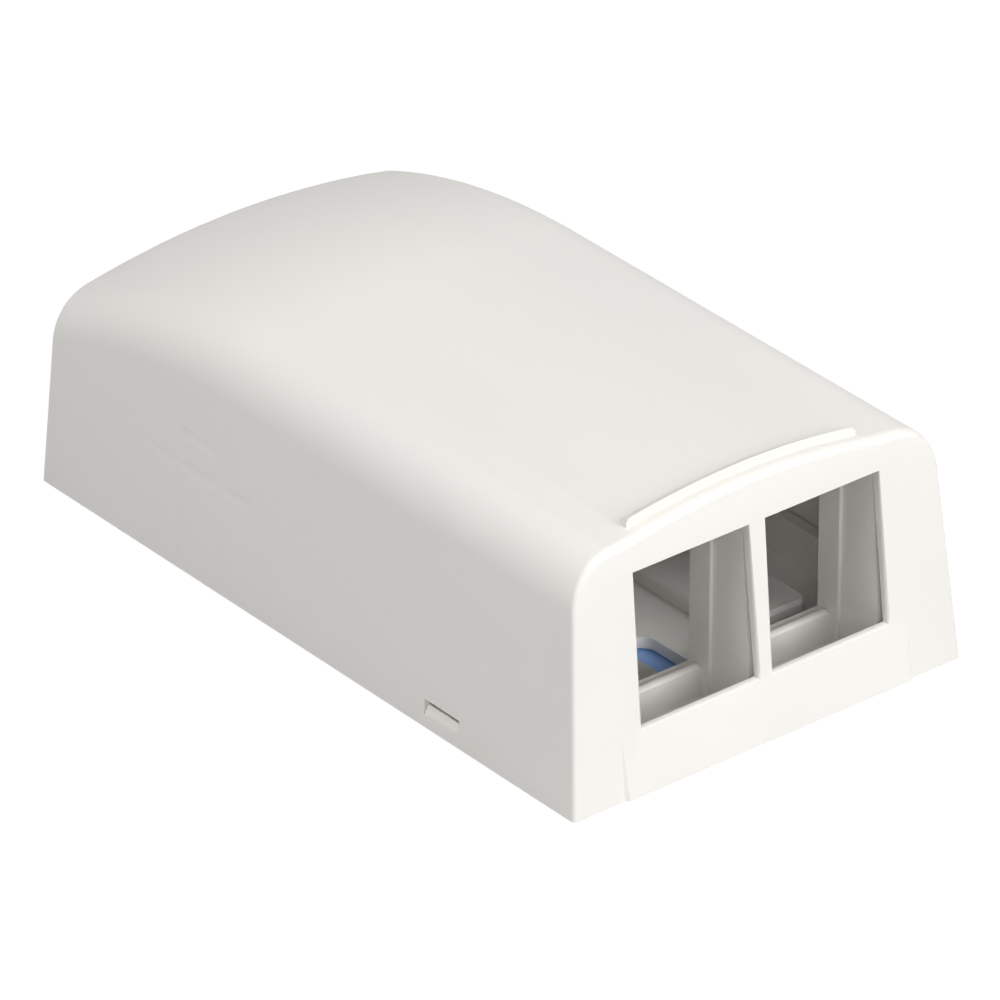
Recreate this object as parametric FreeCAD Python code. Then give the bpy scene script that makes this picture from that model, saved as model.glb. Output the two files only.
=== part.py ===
import FreeCAD, Part
import os
from math import atan2, degrees, radians, sqrt, tan

# Two-port surface mount jack box: a domed cover that snaps over a shallow base,
# which sits on two foam strips behind one release liner. Millimetres.
# X runs across the box, the two ports face -Y, Z points up. The origin is on the
# surface that the liner lies on, under the middle of the cover's outline.

V = FreeCAD.Vector

# Cover, outside
cover_width = 50.0            # over the side walls, at the foot
cover_length = 86.3           # over the front and back walls, at the foot
crown_height = 29.0          # foot to the top of the front face, on the centre line
foot_height = 0.2             # foot of the cover above the surface
side_draft = 4.25             # degrees
front_draft = 5.8
back_draft = 2.0
crown_radius = 105.0         # across the roof
shoulder_radius = 6.5         # between roof and side wall
shoulder_back_radius = 5.2    # it tightens where the roof bends down
roof_bend_run = 30.5          # from where the roof starts to bend down to the back wall
roof_bend_radius = 81.0
front_side_radius = 0.5       # front edge, down the sides
front_arch_radius = 1.0       # and over the arch
back_edge_radius = 0.4

# Cover, walls and details
wall = 1.3
front_wall_foot = 1.7         # the front wall thins towards its head
front_wall_head = 1.0
port_width = 14.8
port_sill = 6.95               # above the foot
port_head = 23.76
mullion = 1.96
visor_span = 29.6
visor_width = 0.9
visor_rise = 0.9
visor_end_radius = 0.5
visor_setback = 1.55          # behind the front face, at the crown
apron_width = 37.0
apron_height = 7.4
apron_proud = 0.3
rib_width = 1.2
rib_depth = 1.2
rib_places = (-6.0, 31.0)
roof_rib_gap = 1.0            # between the roof rib and the posts of the cradle
groove_width = 0.6
breakout_web = 0.5            # wall left under the score lines
side_breakout_centre = 17.3
side_breakout_sizes = ((15.5, 11.7), (6.6, 15.3))
back_breakout_sizes = ((16.0, 12.0),)

# Snap
catch_length = 5.4
catch_centre = -22.4
catch_sill = 1.35              # above the foot
catch_head = 3.05
catch_skin = 0.35             # wall left outside the lead-in groove
nose_inset = 0.45
nose_height = 0.3
catch_play = 0.1
catch_side_play = 0.15

# Base
fit_gap = 0.25                # between the base and the inside of the cover
base_floor = 1.3
base_wall = 1.3
base_wall_top = 6.9           # above the surface
front_lip_top = 4.8
notch_play = 1.0
post_top = 24.0
post_width = 1.5
post_rear = -32.25
post_corner_radius = 2.0
stop_start = -35.3           # the posts thicken into a stop from here back
stop_rise = 0.38
rail_top = 4.75
rail_width = 1.95
bead_top = 5.1
bead_width = 1.2
bead_radius = 0.55
bead_play = 0.25
screw_slot_width = 3.8
screw_slot_travel = 5.2
screw_slot_centre = 26.0      # before and behind the middle
cable_width = 13.0
cable_length = 22.0
cable_centre = 3.0
tie_spacing = 8.0
tie_place = 18.5
tie_stem = 2.2
tie_head = 4.6
tie_thickness = 1.5
tie_height = 6.0
tie_head_height = 1.6

# Foam strips and liner
liner_thickness = 0.12
liner_margin = 4.5            # inside the base's outline
liner_corner_radius = 3.0
foam_thickness = 2.0
foam_proud = 0.2              # foam left standing below the base
foam_width = 6.6
foam_side_inset = 3.0         # inside the liner's outline
foam_front_inset = 9.5
foam_back_inset = 6.0
foam_play = 0.3
pocket_wall = 1.3
pocket_corner_radius = 1.5
pocket_chamfer = 0.4

side_slope = tan(radians(side_draft))
front_slope = tan(radians(front_draft))
back_slope = tan(radians(back_draft))
half_length = cover_length / 2
crown_top = foot_height + crown_height
base_underside = liner_thickness + foam_proud
floor_top = base_underside + base_floor
bay_inner = mullion / 2
bay_outer = bay_inner + port_width
wire_gap = wall + fit_gap


def box(x0, x1, y0, y1, z0, z1):
    return Part.makeBox(x1 - x0, y1 - y0, z1 - z0, V(x0, y0, z0))


def prism(points, along):
    """Solid made by pushing a flat closed outline along a vector."""
    return Part.Face(Part.makePolygon(points + points[:1])).extrude(along)


def mirrored(shape):
    return shape.mirror(V(0, 0, 0), V(1, 0, 0))


def both_sides(shapes):
    return list(shapes) + [mirrored(shape) for shape in shapes]


def slot_prism(length, width, z0, z1):
    """Upright solid with round ends, its length along X, centred on the Z axis."""
    half = (length - width) / 2
    middle = box(-half, half, -width / 2, width / 2, z0, z1)
    ends = [Part.makeCylinder(width / 2, z1 - z0, V(x, 0, z0)) for x in (-half, half)]
    return middle.fuse(ends).removeSplitter()


def along_y(shape, y):
    """Turns a shape from X to Y about the Z axis and sets it at y."""
    turned = shape.copy()
    turned.rotate(V(0, 0, 0), V(0, 0, 1), 90)
    turned.translate(V(0, y, 0))
    return turned


def side_x(z, inset=0.0):
    """Half width at height z, set in from the outer face."""
    return cover_width / 2 - inset - (z - foot_height) * side_slope


def back_y(z, inset=0.0):
    return half_length - inset - (z - foot_height) * back_slope


def front_y(z, inset=0.0):
    return -half_length + inset + (z - foot_height) * front_slope


def front_inner_y(z, gap=0.0):
    """Inner face of the tapering front wall, and faces that stand off it by a gap."""
    share = (z - foot_height) / crown_height
    return front_y(z, front_wall_foot + share * (front_wall_head - front_wall_foot)) + gap


def liner_outline():
    """Half width, front and back of the liner."""
    half = side_x(base_underside, wire_gap) - liner_margin
    front = front_inner_y(base_underside, fit_gap) + liner_margin
    back = back_y(base_underside, wire_gap) - liner_margin
    return half, front, back


def foam_outline():
    """Inner and outer X, front and back Y of the right foam strip."""
    half, front, back = liner_outline()
    outer = half - foam_side_inset
    return outer - foam_width, outer, front + foam_front_inset, back - foam_back_inset


def tapered_block(inset, front, z0, z1):
    """Block between the drafted walls, from z0 to z1; front gives y at a height."""
    rings = []
    for z in (z0, z1):
        x, back = side_x(z, inset), back_y(z, inset)
        rings.append([V(-x, front(z), z), V(x, front(z), z), V(x, back, z), V(-x, back, z)])
    low, high = rings
    outlines = [low, high]
    for i in range(4):
        j = (i + 1) % 4
        outlines.append([low[i], low[j], high[j], high[i]])
    faces = [Part.Face(Part.makePolygon(points + points[:1])) for points in outlines]
    return Part.makeSolid(Part.makeShell(faces))


def under_roof(rise=0.0):
    """All that lies below the roof, or below a face that stands off it by a rise."""
    radius = crown_radius + rise
    reach = 0.6 * cover_width
    depth = 1.5 * crown_height
    lead = 10.0
    run = half_length - roof_bend_run - front_y(crown_top)
    turn = atan2(roof_bend_run + lead / 2, roof_bend_radius - crown_height)
    edge = sqrt(radius ** 2 - reach ** 2) - crown_radius
    left, right = V(-reach, 0, edge), V(reach, 0, edge)
    arch = Part.Arc(left, V(0, 0, rise), right).toShape()
    rest = Part.makePolygon([right, V(reach, 0, -depth), V(-reach, 0, -depth), left])
    face = Part.Face(Part.Wire([arch] + rest.Edges))

    start = face.translated(V(0, -lead, 0))
    straight = start.extrude(V(0, lead + run, 0))
    end = face.translated(V(0, run, 0))
    bend = end.revolve(V(0, run, -roof_bend_radius), V(-1, 0, 0), degrees(turn))
    roof = straight.fuse(bend)
    roof.translate(V(0, front_y(crown_top), crown_top))
    return roof


def dome(inset, front, z0):
    """Cover-shaped solid, its walls and roof set in from the outside."""
    solid = tapered_block(inset, front, z0, crown_top + 5).common(under_roof(-inset))
    bend_start = half_length - roof_bend_run - 1e-3
    bends = []
    for edge in solid.Edges:
        ends = [vertex.Point for vertex in edge.Vertexes]
        runs_back = abs(ends[0].y - ends[-1].y) > shoulder_radius
        if runs_back and min(p.y for p in ends) > bend_start:
            bends.append(edge)
    return solid.makeFillet(shoulder_back_radius - inset, shoulder_radius - inset, bends)


def outline_edges(solid, face):
    """Edges around an end face, its foot left out."""
    found = []
    for edge in solid.Edges:
        on_face = all(abs(v.Y - face(v.Z)) < 1e-3 for v in edge.Vertexes)
        if on_face and edge.CenterOfMass.z > foot_height + 0.1:
            found.append(edge)
    return found


def round_front(body):
    """Rounds the front edge on one half, fuller over the arch, and mirrors the half."""
    half = body.common(box(-cover_width, 0, -cover_length, cover_length, 0, 2 * crown_height))
    shoulder = []
    for edge in outline_edges(half, front_y):
        start, end = edge.Vertexes[0].Point, edge.Vertexes[-1].Point
        if min(abs(start.x - end.x), abs(start.z - end.z)) > shoulder_radius / 2:
            shoulder.append(edge)
    half = half.makeFillet(front_side_radius, front_arch_radius, shoulder)
    return half.fuse(mirrored(half)).removeSplitter()


def port_cut(side):
    """Square-cut port through the front wall."""
    inner, outer = sorted((side * bay_inner, side * bay_outer))
    z0, z1 = foot_height + port_sill, foot_height + port_head
    return box(inner, outer, front_y(z0) - 3, front_inner_y(z1) + 0.6, z0, z1)


def visor():
    """Thin rib that follows the arch of the roof above the ports, its ends rounded."""
    y = front_y(crown_top) + visor_setback
    blank = box(-visor_span / 2, visor_span / 2, y, y + visor_width,
                crown_top - 3 * wall, crown_top + 3)
    rib = blank.common(under_roof(visor_rise))
    ends = [edge for edge in rib.Edges
            if edge.BoundBox.XLength < 1e-6 and edge.BoundBox.ZLength < 1e-6
            and edge.Vertexes[0].Z > crown_top - 2 * wall]
    return rib.makeFillet(visor_end_radius, ends)


def apron():
    """Shallow wedge on the front face, below the ports."""
    top = foot_height + apron_height
    points = [V(-apron_width / 2, front_y(foot_height) - apron_proud, foot_height),
              V(-apron_width / 2, front_y(top), top),
              V(-apron_width / 2, front_y(foot_height, wall), foot_height)]
    return prism(points, V(apron_width, 0, 0))


def breakout_frame(sizes):
    """Score line of a breakout in the YZ plane, as a frame that runs along X."""
    def blocks(grow):
        parts = [box(0, cover_width, -width / 2 - grow, width / 2 + grow,
                     foot_height - 1, foot_height + height + grow)
                 for width, height in sizes]
        return parts[0].fuse(parts[1:]) if parts[1:] else parts[0]
    return blocks(groove_width / 2).cut(blocks(-groove_width / 2))


def make_cover():
    body = round_front(dome(0, front_y, foot_height))
    body = body.makeFillet(back_edge_radius, outline_edges(body, back_y))
    body = body.fuse([visor(), apron()])
    body = body.cut(dome(wall, front_inner_y, foot_height - 1))

    core = dome(wall / 2, lambda z: front_y(z, front_wall_head / 2), foot_height)
    ribs = []
    for y in rib_places:
        x = side_x(base_wall_top, wall) - rib_depth
        ribs.append(box(x, cover_width, y - rib_width / 2, y + rib_width / 2,
                        base_wall_top, crown_top))
    ribs = both_sides(ribs)
    ribs.append(box(-bay_outer, bay_outer, post_rear - rib_width, post_rear,
                    post_top + roof_rib_gap, crown_top + 5))
    body = body.fuse([rib.common(core) for rib in ribs])

    cuts = [port_cut(side) for side in (-1, 1)]
    y0, y1 = catch_centre - catch_length / 2, catch_centre + catch_length / 2
    z0, z1 = foot_height + catch_sill, foot_height + catch_head
    skin = dome(catch_skin, front_y, foot_height - 1)
    window = box(cover_width / 4, cover_width, y0, y1, z0, z1)
    lead_in = box(cover_width / 4, cover_width, y0, y1, foot_height - 1, z0).common(skin)
    cuts += both_sides([window, lead_in])

    web = dome(breakout_web, front_y, foot_height - 1)
    side_frame = breakout_frame(side_breakout_sizes)
    side_frame.translate(V(0, side_breakout_centre, 0))
    cuts += both_sides([side_frame.common(web)])
    cuts.append(along_y(breakout_frame(back_breakout_sizes), 0).common(web))
    return body.cut(cuts).removeSplitter()


def upright(x0, x1):
    """Post of the jack cradle between two X values, its front following the cover."""
    corners = [V(x0, front_inner_y(floor_top, fit_gap), floor_top),
               V(x0, front_inner_y(post_top, fit_gap), post_top),
               V(x0, post_rear, post_top), V(x0, post_rear, floor_top)]
    return prism(corners, V(x1 - x0, 0, 0))


def stop(x0, x1):
    return box(x0, x1, stop_start, post_rear, floor_top, post_top)


def cradle():
    """Two bays for the jack modules: posts with stops, and a beaded rail behind."""
    outer = bay_outer + post_width
    parts = [upright(-bay_inner, bay_inner), stop(-bay_inner - stop_rise,
                                                  bay_inner + stop_rise)]
    parts += both_sides([upright(bay_outer, outer), stop(bay_outer - stop_rise, outer)])
    posts = parts[0].fuse(parts[1:]).removeSplitter()
    rear_corners = [edge for edge in posts.Edges
                    if all(abs(v.Z - post_top) < 1e-6 and abs(v.Y - post_rear) < 1e-6
                           for v in edge.Vertexes)]
    posts = posts.makeFillet(post_corner_radius, rear_corners)

    front = post_rear - rail_width
    rail = box(-outer, outer, front, post_rear, floor_top, rail_top)
    bead = slot_prism(port_width - 2 * bead_play, bead_width, floor_top, bead_top)
    top_edges = [edge for edge in bead.Edges
                 if all(abs(v.Z - bead_top) < 1e-6 for v in edge.Vertexes)]
    bead = bead.makeFillet(bead_radius, top_edges)
    bead.translate(V(bay_inner + port_width / 2, front + bead_width / 2, 0))
    return [posts, rail] + both_sides([bead])


def hook():
    """Snap hook on the base's side wall, ramped above and square below."""
    low = foot_height + catch_sill + catch_play
    high = foot_height + catch_head - catch_play
    root = side_x(high, wire_gap)
    nose = side_x(low, nose_inset)
    y = catch_centre - catch_length / 2 + catch_side_play
    points = [V(root - base_wall / 2, y, low), V(nose, y, low),
              V(nose, y, low + nose_height), V(root, y, high),
              V(root - base_wall / 2, y, high)]
    return prism(points, V(0, catch_length - 2 * catch_side_play, 0))


def raised_pocket():
    """Raised panel of the floor over a foam strip, and the pocket under it."""
    ceiling = liner_thickness + foam_thickness
    x0, x1, y0, y1 = foam_outline()
    grow = foam_play + pocket_wall
    top = ceiling + base_floor
    panel = box(x0 - grow, x1 + grow, y0 - grow, y1 + grow, base_underside, top)
    upright_edges = [edge for edge in panel.Edges
                     if abs(edge.Vertexes[0].Z - edge.Vertexes[-1].Z) > base_floor]
    panel = panel.makeFillet(pocket_corner_radius, upright_edges)
    rim = [edge for edge in panel.Edges if all(abs(v.Z - top) < 1e-6 for v in edge.Vertexes)]
    panel = panel.makeChamfer(pocket_chamfer, rim)
    pocket = box(x0 - foam_play, x1 + foam_play, y0 - foam_play, y1 + foam_play,
                 base_underside - 1, ceiling)
    return panel, pocket


def tie_post():
    """T-shaped post that a cable tie goes round."""
    neck = floor_top + tie_height
    y0, y1 = tie_place - tie_thickness / 2, tie_place + tie_thickness / 2
    x = tie_spacing / 2
    stem = box(x - tie_stem / 2, x + tie_stem / 2, y0, y1, floor_top, neck)
    head = box(x - tie_head / 2, x + tie_head / 2, y0, y1, neck, neck + tie_head_height)
    return stem.fuse(head)


def make_base():
    def outer_front(z):
        return front_inner_y(z, fit_gap)

    def inner_front(z):
        return front_inner_y(z, fit_gap + base_wall)

    shell = tapered_block(wire_gap, outer_front, base_underside, base_wall_top)
    hollow = tapered_block(wire_gap + base_wall, inner_front, floor_top, base_wall_top + 1)
    tray = shell.cut(hollow)
    inside = side_x(base_wall_top, wire_gap + base_wall)
    notches = [box(-inside, inside, -half_length, inner_front(base_wall_top) + 1,
                   front_lip_top, base_wall_top + 1)]
    width = side_breakout_sizes[0][0] / 2 + notch_play
    notches += both_sides([box(inside - 1, cover_width / 2, side_breakout_centre - width,
                               side_breakout_centre + width, floor_top,
                               base_wall_top + 1)])
    width = back_breakout_sizes[0][0] / 2 + notch_play
    notches.append(box(-width, width, half_length - 8, half_length, floor_top,
                       base_wall_top + 1))
    tray = tray.cut(notches)

    panel, pocket = raised_pocket()
    body = tray.fuse(both_sides([panel, hook(), tie_post()]) + cradle())
    cuts = both_sides([pocket])
    screw_slot = slot_prism(screw_slot_travel + screw_slot_width, screw_slot_width,
                            base_underside - 1, floor_top + 1)
    cuts += [along_y(screw_slot, y) for y in (-screw_slot_centre, screw_slot_centre)]
    cable_slot = slot_prism(cable_length, cable_width, base_underside - 1, floor_top + 1)
    cuts.append(along_y(cable_slot, cable_centre))
    return body.cut(cuts).removeSplitter()


def make_foam_strip():
    x0, x1, y0, y1 = foam_outline()
    return box(x0, x1, y0, y1, liner_thickness, liner_thickness + foam_thickness)


def make_liner():
    half, front, back = liner_outline()
    sheet = box(-half, half, front, back, 0, liner_thickness)
    corners = [edge for edge in sheet.Edges
               if abs(edge.Vertexes[0].Z - edge.Vertexes[-1].Z) > liner_thickness / 2]
    sheet = sheet.makeFillet(liner_corner_radius, corners)
    hole = slot_prism(cable_length + 1, cable_width + 1, -1, liner_thickness + 1)
    return sheet.cut(along_y(hole, cable_centre))


foam_strip = make_foam_strip()
parts = {
    "cover": make_cover(),
    "base": make_base(),
    "foam_strip_left": mirrored(foam_strip),
    "foam_strip_right": foam_strip,
    "release_liner": make_liner(),
}

os.makedirs("parts", exist_ok=True)
for name, shape in parts.items():
    shape.exportStep("parts/" + name + ".step")
    size = shape.BoundBox
    print(name, shape.isValid(), len(shape.Solids), round(shape.Volume, 1),
          [round(v, 2) for v in (size.XMin, size.XMax, size.YMin, size.YMax,
                                 size.ZMin, size.ZMax)])
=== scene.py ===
import bmesh
import bpy
from math import copysign, cos, pi, radians, sin, sqrt, tan
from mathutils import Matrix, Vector


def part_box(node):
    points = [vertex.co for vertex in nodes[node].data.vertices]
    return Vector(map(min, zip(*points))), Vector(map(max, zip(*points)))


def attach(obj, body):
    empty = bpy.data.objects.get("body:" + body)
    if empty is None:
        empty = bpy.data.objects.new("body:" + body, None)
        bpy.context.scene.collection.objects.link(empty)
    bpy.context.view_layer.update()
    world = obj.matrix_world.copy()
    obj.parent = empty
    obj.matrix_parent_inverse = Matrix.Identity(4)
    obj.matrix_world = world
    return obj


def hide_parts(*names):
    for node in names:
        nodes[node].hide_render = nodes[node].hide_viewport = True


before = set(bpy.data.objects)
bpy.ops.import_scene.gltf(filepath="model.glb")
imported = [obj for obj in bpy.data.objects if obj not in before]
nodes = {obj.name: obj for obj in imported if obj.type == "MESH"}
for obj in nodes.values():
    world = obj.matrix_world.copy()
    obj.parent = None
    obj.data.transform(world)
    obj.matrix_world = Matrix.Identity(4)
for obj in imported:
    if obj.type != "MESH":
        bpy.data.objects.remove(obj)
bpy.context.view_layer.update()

# Two-port surface mount jack box: moulded cover and base, two foam strips and the
# blue film that covers their adhesive until the box is put up. Metres.
# X runs across the box, the ports face -Y, Z points up.

mm = 0.001
scene = bpy.context.scene


# Camera

def set_camera(azimuth, elevation, distance, target, aside, lens):
    """Camera that looks at the box from its left front, a little above it."""
    a, e = radians(azimuth), radians(elevation)
    back = Vector((-sin(a) * cos(e), -cos(a) * cos(e), sin(e)))
    right = Vector((cos(a), -sin(a), 0))
    up = back.cross(right)
    lens_data = bpy.data.cameras.new("camera")
    lens_data.lens = lens
    lens_data.sensor_width = 36
    lens_data.clip_start, lens_data.clip_end = 0.05, 50
    camera = bpy.data.objects.new("camera", lens_data)
    camera.location = Vector(target) + back * distance + right * aside[0] + up * aside[1]
    camera.rotation_euler = back.to_track_quat("Z", "Y").to_euler()
    scene.collection.objects.link(camera)
    scene.camera = camera


set_camera(azimuth=39.027, elevation=30.026, distance=1.0, target=(0, 0, 14.2 * mm),
           aside=(0.577 * mm, -5.334 * mm), lens=357.3)


# Nodes, and the arithmetic on them

class Value:
    """A number that varies over a surface or a curve. Arithmetic on it adds Math
    nodes."""

    def __init__(self, owner, socket):
        self.owner = owner
        self.socket = socket

    def math(self, operation, *numbers):
        inputs = dict(enumerate(numbers))
        node = self.owner.node("ShaderNodeMath", {"operation": operation}, inputs)
        return Value(self.owner, node.outputs[0])

    def __add__(self, other):
        return self.math("ADD", self, other)

    def __radd__(self, other):
        return self.math("ADD", other, self)

    def __sub__(self, other):
        return self.math("SUBTRACT", self, other)

    def __rsub__(self, other):
        return self.math("SUBTRACT", other, self)

    def __mul__(self, other):
        return self.math("MULTIPLY", self, other)

    def __rmul__(self, other):
        return self.math("MULTIPLY", other, self)

    def __truediv__(self, other):
        return self.math("DIVIDE", self, other)

    def __rtruediv__(self, other):
        return self.math("DIVIDE", other, self)

    def __abs__(self):
        return self.math("ABSOLUTE", self)

    def __gt__(self, other):
        return self.math("GREATER_THAN", self, other)

    def most(self, other):
        return self.math("MAXIMUM", self, other)

    def least(self, other):
        return self.math("MINIMUM", self, other)

    def root(self):
        """Square root."""
        return self.math("SQRT", self)

    def fade(self, start, end):
        """0 at start, 1 at end, smooth between."""
        node = self.owner.node("ShaderNodeMapRange", {"interpolation_type": "SMOOTHSTEP"},
                               {"Value": self, "From Min": start, "From Max": end})
        return Value(self.owner, node.outputs["Result"])


class Tree:
    """A node tree in the making."""

    def __init__(self, tree):
        self.tree = tree

    def node(self, kind, settings=None, inputs=None):
        """Adds a node: its settings first, then the values or links of its sockets."""
        node = self.tree.nodes.new(kind)
        for key, setting in (settings or {}).items():
            setattr(node, key, setting)
        for key, value in (inputs or {}).items():
            self.feed(value, node.inputs[key])
        return node

    def feed(self, value, socket):
        """Links a value to a socket, or sets it there if it is a plain one."""
        if isinstance(value, Value):
            value = value.socket
        if isinstance(value, bpy.types.NodeSocket):
            self.tree.links.new(value, socket)
        else:
            socket.default_value = value

    def seen_directly(self):
        """1 where the camera sees this itself or in a gloss or clear surface, 0 where
        it only lights something."""
        rays = self.node("ShaderNodeLightPath").outputs
        kinds = ("Is Camera Ray", "Is Glossy Ray", "Is Transmission Ray")
        camera, glossy, clear = [Value(self, rays[kind]) for kind in kinds]
        return camera.most(glossy).most(clear)


class Finish(Tree):
    """A node material, for one of the box's surfaces or for the floor."""

    def __init__(self, name, **shader_values):
        self.material = bpy.data.materials.new(name)
        self.material.use_nodes = True
        super().__init__(self.material.node_tree)
        self.tree.nodes.clear()
        self.shader = self.node("ShaderNodeBsdfPrincipled", {}, {
            key.replace("_", " "): value for key, value in shader_values.items()})
        self.end = self.node("ShaderNodeOutputMaterial", {}, {
            "Surface": self.shader.outputs[0]})
        self.place = self.node("ShaderNodeTexCoord").outputs["Object"]

    def split_place(self):
        """The three parts of the place on the surface: across, back and up."""
        split = self.node("ShaderNodeSeparateXYZ", {}, {"Vector": self.place})
        return [Value(self, socket) for socket in split.outputs]

    def speckle(self, size, detail=2.0, roughness=0.5, stretch=(1, 1, 1)):
        """Soft noise whose features are about the given size."""
        scaled = self.node("ShaderNodeVectorMath", {"operation": "MULTIPLY"}, {
            0: self.place, 1: [s / size for s in stretch]})
        node = self.node("ShaderNodeTexNoise", {"noise_dimensions": "3D"}, {
            "Vector": scaled.outputs[0], "Scale": 1.0, "Detail": detail,
            "Roughness": roughness})
        return Value(self, node.outputs[0])

    def cells(self, size):
        """Distance to the nearest of scattered points, about the given size apart."""
        scaled = self.node("ShaderNodeVectorMath", {"operation": "SCALE"}, {
            0: self.place, "Scale": 1 / size})
        node = self.node("ShaderNodeTexVoronoi", {"feature": "F1"}, {
            "Vector": scaled.outputs[0], "Scale": 1.0})
        return Value(self, node.outputs["Distance"])

    def blend(self, share, first, second):
        """Colour between two others."""
        node = self.node("ShaderNodeMix", {"data_type": "RGBA"}, {
            0: share, 6: first, 7: second})
        return node.outputs[2]

    def set(self, **links):
        """Feeds what varies to the shader; a relief is a height in metres."""
        for key, value in links.items():
            if key == "relief":
                bump = self.node("ShaderNodeBump", {}, {
                    "Height": value, "Distance": 1.0, "Strength": 1.0})
                key, value = "Normal", bump.outputs[0]
            self.feed(value, self.shader.inputs[key.replace("_", " ")])


# Surface finishes

breakout_middle = 17.3 * mm
side_wall_reach = 23.2 * mm


def breakout_outline(finish, width, height):
    """1 along the sides and top of a breakout in the side walls, 0 away from it."""
    x, y, z = finish.split_place()
    beside = abs(y - breakout_middle) - width / 2
    outside = beside.most(z - height)
    on_side_walls = abs(x) > side_wall_reach
    return (1 - abs(outside).fade(0.12 * mm, 0.85 * mm)) * on_side_walls


def moulded_plastic():
    """Warm white ABS with a fine spark-eroded grain, a little flow in its colour, and
    faint sinks where the score lines inside read through."""
    finish = Finish("moulded_plastic", IOR=1.53, Specular_IOR_Level=0.42)
    flow = finish.speckle(21 * mm, 3.0, 0.5, (1, 0.4, 1))
    grain = finish.speckle(0.16 * mm, 3.0, 0.55)
    pits = finish.speckle(0.5 * mm, 2.0, 0.5)
    wide_and_low = breakout_outline(finish, width=15.5 * mm, height=11.9 * mm)
    narrow_and_high = breakout_outline(finish, width=6.6 * mm, height=15.5 * mm)
    sinks = wide_and_low.most(narrow_and_high)
    warm_white, cooler_white = (0.81, 0.79, 0.755, 1), (0.795, 0.777, 0.745, 1)
    colour = finish.blend(flow.fade(0.35, 0.65), warm_white, cooler_white)
    finish.set(Base_Color=colour, Roughness=0.47 + 0.08 * pits + 0.05 * grain,
               relief=(0.006 * mm * grain + 0.005 * mm * pits + 0.05 * mm * flow
                       - 0.045 * mm * sinks))
    return finish.material


def closed_cell_foam():
    """Pale grey foam with its cut cells open."""
    finish = Finish("closed_cell_foam", IOR=1.45, Specular_IOR_Level=0.2)
    cells = finish.cells(0.28 * mm)
    shade = finish.speckle(4 * mm)
    colour = finish.blend(shade, (0.76, 0.76, 0.75, 1), (0.66, 0.67, 0.67, 1))
    finish.set(Base_Color=colour, Roughness=0.85 - 0.1 * cells, relief=0.05 * mm * cells)
    return finish.material


def release_film():
    """Blue siliconised film, with the faint waves of a sheet that was unrolled."""
    finish = Finish("release_film", IOR=1.5, Specular_IOR_Level=0.5)
    waves = finish.speckle(9 * mm, 1.0, 0.5, (1, 0.35, 1))
    grain = finish.speckle(0.4 * mm)
    colour = finish.blend(waves, (0.26, 0.46, 0.88, 1), (0.31, 0.51, 0.92, 1))
    finish.set(Base_Color=colour, Roughness=0.30 + 0.08 * grain,
               relief=0.06 * mm * waves + 0.002 * mm * grain)
    return finish.material


plastic = moulded_plastic()
foam = closed_cell_foam()
film = release_film()


# What repeats or follows a path

class Recipe(Tree):
    """A Geometry Nodes tree that makes a piece from named sizes."""

    def __init__(self, name, sizes):
        super().__init__(bpy.data.node_groups.new(name, "GeometryNodeTree"))
        face = self.tree.interface
        face.new_socket("Start", in_out="INPUT", socket_type="NodeSocketGeometry")
        self.sockets = {size: face.new_socket(size, in_out="INPUT",
                                              socket_type="NodeSocketFloat").identifier
                        for size in sizes}
        face.new_socket("Piece", in_out="OUTPUT", socket_type="NodeSocketGeometry")
        self.given = self.node("NodeGroupInput").outputs

    def size(self, name):
        return Value(self, self.given[name])

    def finish_with(self, geometry, material):
        """Ends the tree: real geometry, in the piece's material."""
        real = self.node("GeometryNodeRealizeInstances", {}, {"Geometry": geometry})
        painted = self.node("GeometryNodeSetMaterial", {}, {
            "Geometry": real.outputs[0], "Material": material})
        self.node("NodeGroupOutput", {}, {0: painted.outputs[0]})

    def make(self, name, points, sizes, joined=False):
        """The piece that the tree makes of these points, as a plain mesh."""
        mesh = bpy.data.meshes.new(name + "_points")
        steps = range(len(points) - 1) if joined else []
        mesh.from_pydata(points, [(step, step + 1) for step in steps], [])
        maker = bpy.data.objects.new(name + "_maker", mesh)
        scene.collection.objects.link(maker)
        modifier = maker.modifiers.new("recipe", "NODES")
        modifier.node_group = self.tree
        for size, value in sizes.items():
            modifier[self.sockets[size]] = value
        made = bpy.data.meshes.new_from_object(
            maker.evaluated_get(bpy.context.evaluated_depsgraph_get()))
        bpy.data.objects.remove(maker)
        return new_piece(name, made)


def new_piece(name, mesh):
    """Puts a mesh in the scene as a piece, its place in the mesh itself."""
    mesh.name = name
    piece = bpy.data.objects.new(name, mesh)
    scene.collection.objects.link(piece)
    return piece


def ejector_mark_recipe():
    """A low disc with a sloping edge at each point, as an ejector pin leaves it."""
    recipe = Recipe("ejector_marks", ["Diameter", "Height", "Edge"])
    top = recipe.size("Diameter") / 2
    disc = recipe.node("GeometryNodeMeshCone", {"fill_type": "NGON"}, {
        "Vertices": 28, "Radius Bottom": top + recipe.size("Edge"), "Radius Top": top,
        "Depth": recipe.size("Height")})
    marks = recipe.node("GeometryNodeInstanceOnPoints", {}, {
        "Points": recipe.given["Start"], "Instance": disc.outputs["Mesh"]})
    recipe.finish_with(marks.outputs[0], plastic)
    return recipe


# Visor: the rib that follows the roof above the ports

roof_top = 29.2 * mm
roof_radius = 105.0 * mm


def roof_height(x):
    """Height of the moulding's roof over the ports, at a distance x from the middle."""
    return roof_top - roof_radius + sqrt(roof_radius ** 2 - x ** 2)


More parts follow.
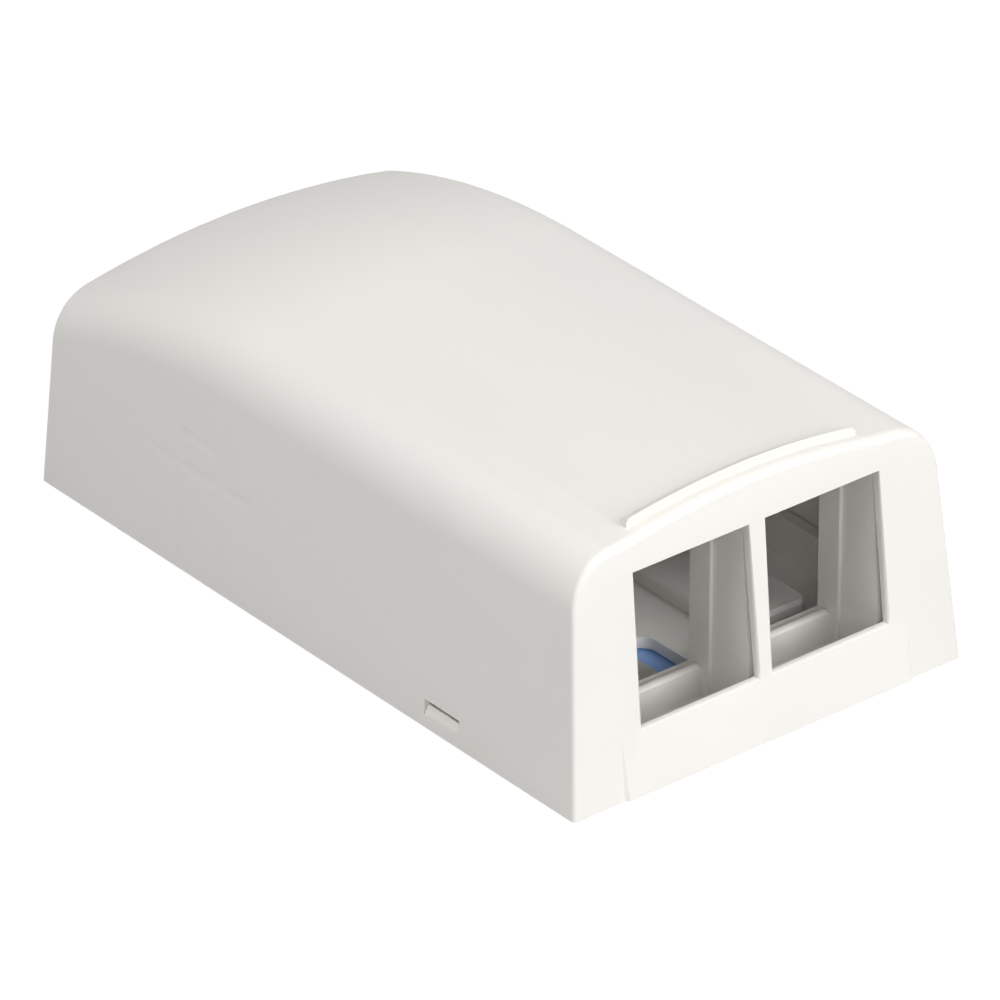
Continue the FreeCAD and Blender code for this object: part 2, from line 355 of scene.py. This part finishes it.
def front_sag(x):
    """How far the finished roof's front end lies below that. It grows from the middle
    outwards, and runs out over the shoulders."""
    at_middle, growth, half_width = 0.3 * mm, 0.25 * mm, 17 * mm
    shoulder_end, shoulder_run = 21 * mm, 4.5 * mm
    share = min(max((shoulder_end - abs(x)) / shoulder_run, 0), 1)
    return (at_middle + growth * (x / half_width) ** 2) * share


def visor_recipe():
    """A rib along the joined points: upright in front, sloping down behind, and drawn
    in towards its two ends. In its section X points back and Y down."""
    recipe = Recipe("visor", ["Rise", "Run", "Root", "Rounding", "End"])
    rise, run, root = [recipe.size(name) for name in ("Rise", "Run", "Root")]

    def corner(back, down):
        node = recipe.node("ShaderNodeCombineXYZ", {}, {"X": back, "Y": down})
        return node.outputs[0]

    section = recipe.node("GeometryNodeCurvePrimitiveQuadrilateral", {"mode": "POINTS"}, {
        "Point 1": corner(0.0, root), "Point 2": corner(0.0, -1 * rise),
        "Point 3": corner(run, 0.0), "Point 4": corner(run, root)})
    rounded = recipe.node("GeometryNodeFilletCurve", {"mode": "POLY"}, {
        "Curve": section.outputs[0], "Radius": recipe.size("Rounding"), "Count": 3})
    path = recipe.node("GeometryNodeMeshToCurve", {}, {"Mesh": recipe.given["Start"]})
    upright = recipe.node("GeometryNodeSetCurveNormal", {"mode": "Z_UP"}, {
        "Curve": path.outputs[0]})
    along = recipe.node("GeometryNodeSplineParameter")
    length = recipe.node("GeometryNodeSplineLength").outputs["Length"]
    passed = Value(recipe, along.outputs["Length"])
    to_end = passed.least(Value(recipe, length) - passed)
    drawn_in = (1 - to_end / recipe.size("End")).most(0.0)
    fullness = (1 - 0.8 * drawn_in * drawn_in).root()
    rib = recipe.node("GeometryNodeCurveToMesh", {}, {
        "Curve": upright.outputs[0], "Profile Curve": rounded.outputs[0],
        "Scale": fullness, "Fill Caps": True})
    recipe.finish_with(rib.outputs[0], plastic)
    return recipe


def make_visor():
    """The rib's line bends with the roof, and dips a little towards its right end."""
    right_end, left_end, steps = 14.4 * mm, -14.8 * mm, 72
    front, deepest_dip = -38.6 * mm, 0.14 * mm
    line = []
    for step in range(steps + 1):
        x = right_end + (left_end - right_end) * step / steps
        dip = deepest_dip * (max(x, 0) / right_end) ** 2
        line.append((x, front, roof_height(x) - front_sag(x) - dip))
    sizes = {"Rise": 0.9 * mm, "Run": 1.5 * mm, "Root": 0.4 * mm, "Rounding": 0.12 * mm,
             "End": 0.7 * mm}
    return visor_recipe().make("visor", line, sizes, joined=True)


# Mouldings: the cover and base with the soft edges and close fits of the real ones

port_width = 14.8 * mm
mullion_width = 1.96 * mm
sill_height = 7.15 * mm
sill_back = -40.91 * mm
port_head = 23.96 * mm
front_at_sill, front_at_head = -42.46 * mm, -40.74 * mm
front_draft = radians(5.8)


def new_mesh(name, shape, material):
    """Ends the work on a shape: its mesh, in its material."""
    mesh = bpy.data.meshes.new(name)
    shape.to_mesh(mesh)
    shape.free()
    mesh.materials.append(material)
    return mesh


def closed_loft(rings, smooth=False):
    """A closed shape through rings of points, each with a flat cap at its two ends."""
    shape = bmesh.new()
    rings = [[shape.verts.new(point) for point in ring] for ring in rings]
    count = len(rings[0])
    for near, far in zip(rings, rings[1:]):
        for here in range(count):
            there = (here + 1) % count
            face = shape.faces.new((near[here], near[there], far[there], far[here]))
            face.smooth = smooth
    shape.faces.new(rings[0])
    shape.faces.new(rings[-1])
    bmesh.ops.recalc_face_normals(shape, faces=shape.faces)
    return shape


def working_copy(node):
    """The moulding's shape, its doubled points merged."""
    shape = bmesh.new()
    shape.from_mesh(nodes[node].data)
    bmesh.ops.remove_doubles(shape, verts=shape.verts, dist=0.001 * mm)
    bmesh.ops.recalc_face_normals(shape, faces=shape.faces)
    return shape


def finish_moulding(node, shape):
    """Makes the piece that stands for a moulding, smooth but for its sharp edges."""
    sharp = radians(26)
    for face in shape.faces:
        face.smooth = True
    for edge in shape.edges:
        edge.smooth = edge.is_manifold and edge.calc_face_angle(0) < sharp
    piece = new_piece(node + "_moulding", new_mesh(node, shape, plastic))
    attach(piece, node)
    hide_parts(node)


def join_flat_faces(shape):
    """Makes one face of each flat stretch of triangles."""
    bmesh.ops.dissolve_limit(shape, angle_limit=radians(0.05), verts=shape.verts,
                             edges=shape.edges, use_dissolve_boundaries=False)


def front_face(z):
    """Y of the front face at a height between the ports' sill and head."""
    share = (z - sill_height) / (port_head - sill_height)
    return front_at_sill + share * (front_at_head - front_at_sill)


def on_port_outline(point):
    """Whether a point is on a side or the sill of a port, at the front face."""
    reach, near = abs(point.x), 0.02 * mm
    inner_side = mullion_width / 2
    beside = min(abs(reach - inner_side), abs(reach - inner_side - port_width))
    in_height = sill_height - near < point.z < port_head + near
    at_front = abs(point.y - front_face(point.z)) < 0.1 * mm
    return at_front and in_height and (beside < near or point.z < sill_height + near)


def round_port_edges(shape):
    """Rounds the ports' sills and sides over into the front face. The heads stay
    sharp."""
    corner, below_head = 1.0, port_head - 1 * mm
    edges = [edge for edge in shape.edges if edge.calc_face_angle(0) > corner
             and all(on_port_outline(vert.co) for vert in edge.verts)
             and min(vert.co.z for vert in edge.verts) < below_head]
    bmesh.ops.bevel(shape, geom=edges, offset=0.3 * mm, segments=3, profile=0.5,
                    affect="EDGES", clamp_overlap=True)


def clear_visor(shape):
    """Presses the plain visor into the roof, where the finer one stands, and leaves a
    shallow gutter in front of it."""
    gutter, cover_over, squeeze = 0.18 * mm, 0.05 * mm, 0.03
    half_span, front, back = 14.9 * mm, -38.7 * mm, -37.7 * mm
    for vert in shape.verts:
        x, y, z = vert.co
        above = z - roof_height(x)
        if abs(x) < half_span and front < y < back and above > -0.1 * mm:
            depth = gutter if y < front + 0.1 * mm else cover_over
            vert.co.z = roof_height(x) - depth + squeeze * above


def lower_front(shape):
    """Lets the front end of the roof down, its inside too, along the drafted front."""
    behind_front, foot, run = -30 * mm, 25 * mm, 2 * mm
    for vert in shape.verts:
        if vert.co.y < behind_front:
            share = min(max((vert.co.z - foot) / run, 0), 1)
            sag = front_sag(vert.co.x) * share
            vert.co.z -= sag
            vert.co.y -= sag * tan(front_draft)


def soften_apron(shape):
    """Spreads the step at each side of the apron under the ports."""
    half_width, front, spread = 18.5 * mm, -43.4 * mm, 0.4 * mm
    for vert in shape.verts:
        if vert.co.y < front and abs(abs(vert.co.x) - half_width) < 0.01 * mm:
            vert.co.x -= copysign(spread, vert.co.x)


def thin_sills(shape):
    """Brings the back edges of the ports' sills forward, to a narrow sill."""
    narrowing, near = 0.85 * mm, 0.1 * mm
    inner_side, outer_side = mullion_width / 2, mullion_width / 2 + port_width
    for vert in shape.verts:
        x, y, z = vert.co
        at_back = abs(z - sill_height) < 0.02 * mm and abs(y - sill_back) < near
        if at_back and inner_side - near < abs(x) < outer_side + near:
            vert.co.y -= narrowing


def make_cover():
    """The cover, finished along its visor, apron, ports and front."""
    shape = working_copy("cover")
    clear_visor(shape)
    soften_apron(shape)
    join_flat_faces(shape)
    lower_front(shape)
    round_port_edges(shape)
    thin_sills(shape)
    finish_moulding("cover", shape)


def close_up_posts(shape):
    """Brings the posts up to the back of the cover's front wall."""
    foot, foot_front = 4.8 * mm, -40.8 * mm
    head, head_front = 23.9 * mm, -39.3 * mm
    half_span, gap = 18 * mm, 0.21 * mm
    for vert in shape.verts:
        x, y, z = vert.co
        at_head = z > head and y < head_front
        at_foot = abs(z - foot) < 0.01 * mm and y < foot_front
        if abs(x) < half_span and (at_head or at_foot):
            vert.co.y -= gap


def clear_hooks(shape):
    """Presses the plain hooks back to where the catches' noses start."""
    reach, squeeze = 23.3 * mm, 0.05
    front, back, foot, top = -25.2 * mm, -19.6 * mm, 1.6 * mm, 3.3 * mm
    for vert in shape.verts:
        x, y, z = vert.co
        past = abs(x) - reach
        if past > 0 and front < y < back and foot < z < top:
            vert.co.x = copysign(reach + squeeze * past, x)


def make_base():
    """The base, its posts and hooks fitted to the cover."""
    shape = working_copy("base")
    close_up_posts(shape)
    clear_hooks(shape)
    finish_moulding("base", shape)


def make_catch(name, side):
    """Nose of a snap hook, in its window in the cover's side wall. Its outer face is
    flush at the foot and leans in to the top, so only the top edge shows a gap. Its two
    ends are drawn in a little."""
    foot, ledge, top = 1.57 * mm, 1.9 * mm, 2.54 * mm
    section = [(24.86, foot), (24.8, foot + 0.25 * mm), (24.46, top - 0.05 * mm),
               (24.4, top), (24.26, top), (24.26, ledge), (23.2, ledge), (23.2, foot)]
    stations = [(-25.06, 0.06), (-25.0, 0), (-19.8, 0), (-19.74, 0.06)]
    rings = [[(side * (x - drawn_in) * mm, y * mm, z) for x, z in section]
             for y, drawn_in in stations]
    piece = new_piece(name, new_mesh(name, closed_loft(rings), plastic))
    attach(piece, "base")


# Foam strips and release film

def make_foam_strip(node):
    """Die-cut strip of foam tape. Its cut sides draw in a little between the two
    adhesive skins, and its corners are just off square."""
    low, high = [Vector(corner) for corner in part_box(node)]
    half = (high - low) / 2
    middle = (high + low) / 2
    corner_radius, waist, edge = 0.5 * mm, 0.14 * mm, 0.05 * mm
    corner_steps = 6
    outline = []
    for quarter, (sx, sy) in enumerate([(1, 1), (-1, 1), (-1, -1), (1, -1)]):
        for step in range(corner_steps + 1):
            turn = pi / 2 * (quarter + step / corner_steps)
            outline.append((sx * (half.x - corner_radius), sy * (half.y - corner_radius),
                            cos(turn), sin(turn)))
    levels = [(-1, edge), (-0.96, 0), (-0.8, 0.25 * waist), (-0.5, 0.75 * waist),
              (0, waist), (0.5, 0.75 * waist), (0.8, 0.25 * waist), (0.96, 0), (1, edge)]
    rings = []
    for level, inset in levels:
        reach, height = corner_radius - inset, middle.z + level * half.z
        rings.append([(middle.x + x + reach * cx, middle.y + y + reach * cy, height)
                      for x, y, cx, cy in outline])
    shape = closed_loft(rings, smooth=True)
    piece = new_piece(node + "_tape", new_mesh(node, shape, foam))
    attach(piece, "base")
    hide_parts(node)


make_cover()
make_base()
make_catch("catch_left", side=-1)
make_catch("catch_right", side=1)

visor = make_visor()
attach(visor, "cover")

mark_height = 0.06 * mm
floor_top, underside = 1.61 * mm, 0.32 * mm
marks_inside = [(x * mm, y * mm, floor_top) for x in (-20.6, 20.6) for y in (8, 36)]
marks_below = [(x * mm, y * mm, underside - mark_height) for x in (-21.6, 21.6)
               for y in (-33, 0, 33)]
marks = ejector_mark_recipe().make("ejector_marks", marks_inside + marks_below, {
    "Diameter": 2.6 * mm, "Height": mark_height, "Edge": 0.12 * mm})
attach(marks, "base")

for name in ("foam_strip_left", "foam_strip_right"):
    make_foam_strip(name)
liner = nodes["release_liner"].data
liner.materials.clear()
liner.materials.append(film)


# Floor and light

def floor_finish():
    """White to the camera, with the box's shadow, and open from below."""
    grey, glow_level, glow_share = 0.54, 1.22, 0.75
    finish = Finish("studio_floor", Base_Color=(grey, grey, grey, 1), Roughness=0.9,
                    Specular_IOR_Level=0.0)
    glow = finish.node("ShaderNodeEmission", {}, {
        "Color": (1, 1, 1, 1), "Strength": glow_level})
    pale = finish.node("ShaderNodeMixShader", {}, {
        0: glow_share * finish.seen_directly(), 1: finish.shader.outputs[0],
        2: glow.outputs[0]})
    below = finish.node("ShaderNodeNewGeometry").outputs["Backfacing"]
    clear = finish.node("ShaderNodeBsdfTransparent")
    mix = finish.node("ShaderNodeMixShader", {}, {
        0: below, 1: pale.outputs[0], 2: clear.outputs[0]})
    finish.feed(mix.outputs[0], finish.end.inputs["Surface"])
    return finish.material


def lay_floor(reach):
    """Square floor that reaches so far from the middle on all sides."""
    mesh = bpy.data.meshes.new("floor")
    corners = [(-1, -1), (1, -1), (1, 1), (-1, 1)]
    mesh.from_pydata([(x * reach, y * reach, 0) for x, y in corners], [], [(0, 1, 2, 3)])
    mesh.materials.append(floor_finish())
    new_piece("floor", mesh)


def soft_box(name, toward, level):
    """Square lamp that lights a facing surface to the given level."""
    distance, size = 1.3, 0.7
    lamp = bpy.data.lights.new(name, "AREA")
    lamp.size = size
    lamp.energy = level * pi ** 2 * distance ** 2
    holder = bpy.data.objects.new(name, lamp)
    way = Vector(toward).normalized()
    holder.location = way * distance
    holder.rotation_euler = way.to_track_quat("Z", "Y").to_euler()
    scene.collection.objects.link(holder)


def studio_world(level):
    """Faint light from all round. What the camera sees of it is white."""
    world = bpy.data.worlds.new("studio")
    scene.world = world
    world.use_nodes = True
    world.node_tree.nodes.clear()
    tree = Tree(world.node_tree)
    lit = tree.node("ShaderNodeBackground", {}, {"Strength": level})
    white = tree.node("ShaderNodeBackground", {}, {"Color": (1, 1, 1, 1)})
    mix = tree.node("ShaderNodeMixShader", {}, {
        0: tree.seen_directly(), 1: lit.outputs[0], 2: white.outputs[0]})
    tree.node("ShaderNodeOutputWorld", {}, {"Surface": mix.outputs[0]})


lay_floor(reach=3.0)
soft_box("key", toward=(0.35, -0.9, 0.45), level=0.70)
soft_box("overhead", toward=(0, 0, 1), level=0.31)
soft_box("fill", toward=(-0.45, -0.76, 0.45), level=0.26)
soft_box("side", toward=(-0.65, -0.1, 0.75), level=0.26)
soft_box("rim", toward=(-0.5, 0.5, 0.7), level=0.18)
studio_world(level=0.03)
scene.view_settings.view_transform = "Standard"
